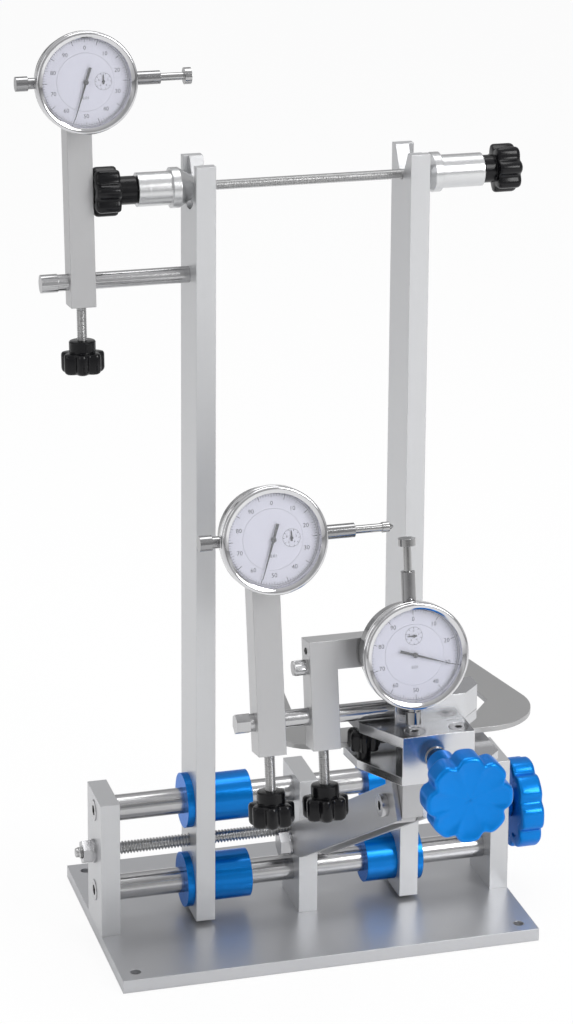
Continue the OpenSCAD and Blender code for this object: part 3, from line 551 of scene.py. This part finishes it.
upright_stem = Matrix.Rotation(math.radians(-90), 4, "Y")
gauges = {
    "side": (leaning(-137.5, line_y, side_rod_z, 5) @ Matrix.Translation((0, -33, 121.7)), 0),
    "left": (leaning(-76.1, rod_y, gauge_rod_z, 10) @ Matrix.Translation((0, -33, 106.3)), 0),
    "middle": (leaning(2.0, rod_y, gauge_rod_z, 10) @ Matrix.Translation((0, -33, 35.0)) @ upright_stem, -90),
}
numbers = {str(n): figure(str(n), 3.4) for n in range(0, 100, 10)}
small_numbers = {str(n): figure(str(n), 1.7) for n in range(0, 10, 2)}
label = figure("0.01", 2.4)
rim = [(25.65, 6.8), (25.65, 2.4), (26.2, 0.9), (27.0, 0.5), (27.9, 0.12), (28.8, 0.0), (29.5, 0.25),
       (29.9, 0.8), (30.0, 1.6), (30.0, 3.2), (29.6, 3.6), (29.6, 4.2), (29.95, 4.6), (29.95, 7.5),
       (29.6, 8.0), (28.9, 8.2), (27.1, 8.2), (27.1, 6.8)]

for name, (place, lettering) in gauges.items():
    body = name + "_gauge"
    paint(case_steel, name + "_case")
    paint(spindle_steel, name + "_spindle")

    ring = shape(name + "_bezel_ring", *ring_turned(rim), body + "_bezel", bezel_steel, place,
                 [name + "_bezel"], "polished_steel")
    lens = front_turned([(25.55, 2.3), (25.55, 1.2), (24.4, 0.95), (20, 0.85), (10, 0.8)])
    shape(name + "_crystal", *lens, body + "_bezel", crystal, place)
    card = ring_turned([(17.05, 6.05), (25.6, 6.05), (25.6, 6.75), (17.05, 6.75)])
    shape(name + "_scale_card", *card, body + "_bezel", dial_card, place, finish_slot="dial_face")

    turn = Matrix.Rotation(math.radians(-lettering), 4, "Y")
    marks = []
    for k in range(100):
        start = 22.4 if k % 10 == 0 else 23.2 if k % 5 == 0 else 23.9
        marks.append(bar(start, 25.1, 0.16 if k % 10 == 0 else 0.09, 6.03, math.tau * k / 100))
    marks.append(ring_turned([(25.0, 5.99), (25.2, 5.99), (25.2, 6.03), (25.0, 6.03)]))
    for k, (text, part) in enumerate(numbers.items()):
        angle = math.radians(90 + lettering - 36 * k)
        verts, faces = facing(part, 6.02)
        spot = Vector((19.9 * math.cos(angle + math.radians(-lettering)), 0,
                       19.9 * math.sin(angle + math.radians(-lettering))))
        verts = [tuple(turn @ (Vector(v) + spot)) for v in verts]
        marks.append((verts, faces))
    shape(name + "_scale_marks", *joined(*marks), body + "_bezel", dial_ink, place)

    disc = front_turned([(16.95, 7.0), (16.95, 6.0), (16.4, 5.98)])
    shape(name + "_inner_dial", *disc, body, dial_card, place, [name + "_dial"], "dial_face")
    counter = [ring_turned([(4.9, 5.92), (5.05, 5.92), (5.05, 5.97), (4.9, 5.97)], 48)]
    counter = [([(a + 10.5, y, b) for a, y, b in v], f) for v, f in counter]
    for k in range(10):
        counter.append(bar(3.9, 4.9, 0.12, 5.97, math.tau * k / 10, (10.5, 0)))
    for k, (text, part) in enumerate(small_numbers.items()):
        angle = math.radians(90 - 72 * k)
        verts, faces = facing(part, 5.95)
        spot = Vector((2.8 * math.cos(angle), 0, 2.8 * math.sin(angle)))
        verts = [tuple(turn @ (Vector(v) + spot) + Vector((10.5, 0, 0))) for v in verts]
        counter.append((verts, faces))
    shape(name + "_counter_scale", *joined(*counter), body, dial_ink, place)
    verts, faces = facing(label, 5.95)
    tag = [tuple(turn @ (Vector(v) + Vector((0, 0, -9.2 if lettering == 0 else -7)))) for v in verts]
    shape(name + "_reading_note", tag, faces, body, dial_ink, place)

    hand = needle(22.5, 9, 0.65, 4.7, math.radians(-108), 1.5)
    arbor = front_turned([(0.9, 7.9), (0.9, 4.6)], 20)
    shape(name + "_long_hand", *joined(hand, arbor), body + "_pointer", hand_black, place,
          [name + "_pointer"], "pointer_black")
    small = needle(4.2, 1.6, 0.4, 5.6, math.radians(90), 0.8, (10.5, 0))
    peg = front_turned([(0.5, 7.3), (0.5, 5.5)], 16)
    peg = ([(a + 10.5, y, b) for a, y, b in peg[0]], peg[1])
    shape(name + "_small_hand", *joined(small, peg), body + "_counter", hand_black, place,
          [name + "_counter"], "pointer_black")


# ---- Studio
# A pale floor, a white room, soft lamps, and the camera of the photograph.

floor_mesh = bpy.data.meshes.new("floor")
reach, floor_z = 9, -0.0003
floor_mesh.from_pydata([(-reach, -reach, floor_z), (reach, -reach, floor_z),
                        (reach, reach, floor_z), (-reach, reach, floor_z)], [], [(0, 1, 2, 3)])
floor = bpy.data.objects.new("floor", floor_mesh)
bpy.context.scene.collection.objects.link(floor)
pale = Finish("pale_floor", (0.95, 0.95, 0.95), 0.0, 0.6)
seen = pale.node("ShaderNodeLightPath", {}, {}, "Is Camera Ray")
shine = pale.node("ShaderNodeLightPath", {}, {}, "Is Glossy Ray")
through = pale.node("ShaderNodeLightPath", {}, {}, "Is Transmission Ray")
white = pale.node("ShaderNodeEmission", {}, {"Color": (1, 1, 1, 1), "Strength": 1.0})
surface = Value(pale, pale.skin.outputs[0])
glow = seen * 0.90 + shine * 0.12 + through * 0.90
mixed = pale.node("ShaderNodeMixShader", {}, {0: glow, 1: surface, 2: white})
pale.put(pale.tree.nodes["Material Output"].inputs["Surface"], mixed)
floor_mesh.materials.append(pale.material)

room = bpy.data.worlds.new("room")
bpy.context.scene.world = room
room.use_nodes = True
tree = room.node_tree
back = tree.nodes["Background"]
path = tree.nodes.new("ShaderNodeLightPath")
direction = tree.nodes.new("ShaderNodeTexCoord")
split = tree.nodes.new("ShaderNodeSeparateXYZ")
tree.links.new(direction.outputs["Generated"], split.inputs[0])
lift = tree.nodes.new("ShaderNodeMapRange")
lift.inputs["From Min"].default_value = -0.3
lift.inputs["From Max"].default_value = 0.9
tree.links.new(split.outputs["Z"], lift.inputs["Value"])
ramp = tree.nodes.new("ShaderNodeValToRGB")
stops = ((0.0, 0.06), (0.20, 0.12), (0.34, 0.75), (0.50, 0.38), (1.0, 0.80))
while len(ramp.color_ramp.elements) < len(stops):
    ramp.color_ramp.elements.new(0.5)
for element, (position, level) in zip(ramp.color_ramp.elements, stops):
    element.position = position
    element.color = (level, level, level * 1.01, 1)
tree.links.new(lift.outputs[0], ramp.inputs[0])
choose = tree.nodes.new("ShaderNodeMix")
choose.data_type = "RGBA"
tree.links.new(path.outputs["Is Camera Ray"], choose.inputs["Factor"])
tree.links.new(ramp.outputs["Color"], choose.inputs["A"])
choose.inputs["B"].default_value = (1, 1, 1, 1)
tree.links.new(choose.outputs["Result"], back.inputs["Color"])
back.inputs["Strength"].default_value = 1.0


def lamp(name, place, target, size, watts):
    data = bpy.data.lights.new(name, "AREA")
    data.shape = "RECTANGLE"
    data.size, data.size_y = size
    data.energy = watts
    made = bpy.data.objects.new(name, data)
    made.location = place
    made.rotation_euler = (Vector(target) - Vector(place)).to_track_quat("-Z", "Y").to_euler()
    bpy.context.scene.collection.objects.link(made)


lamp("key", (1.2, -1.9, 1.5), (0, 0, 0.25), (0.9, 1.3), 31)
lamp("fill", (-1.9, -0.6, 1.1), (0, 0, 0.25), (0.8, 1.4), 5)
lamp("top", (0.1, 0.3, 2.2), (0, 0, 0.2), (1.2, 1.0), 12)

camera_data = bpy.data.cameras.new("camera")
camera_data.sensor_fit = "VERTICAL"
camera_data.sensor_height = 24
camera_data.sensor_width = 24 * 573 / 1024
camera_data.lens = 3180.97 / 1024 * 24
camera_data.shift_x = (286.5 - 281.93) / 1024
camera_data.shift_y = -(512 - 193.28) / 1024
camera_data.clip_start = 0.05
camera_data.clip_end = 60
camera = bpy.data.objects.new("camera", camera_data)
bpy.context.scene.collection.objects.link(camera)
yaw, pitch, roll = -0.276086, 0.242233, 0.006562
ahead = Vector((math.sin(-yaw) * math.cos(pitch), math.cos(yaw) * math.cos(pitch), -math.sin(pitch)))
across = ahead.cross(Vector((0, 0, 1))).normalized()
above = across.cross(ahead)
right = math.cos(roll) * across + math.sin(roll) * above
upward = -math.sin(roll) * across + math.cos(roll) * above
camera.matrix_world = Matrix.Translation((-0.517946, -1.779064, 0.925418)) @ Matrix(
    (right, upward, -ahead)).transposed().to_4x4()
bpy.context.scene.camera = camera
bpy.context.scene.view_settings.view_transform = "Standard"
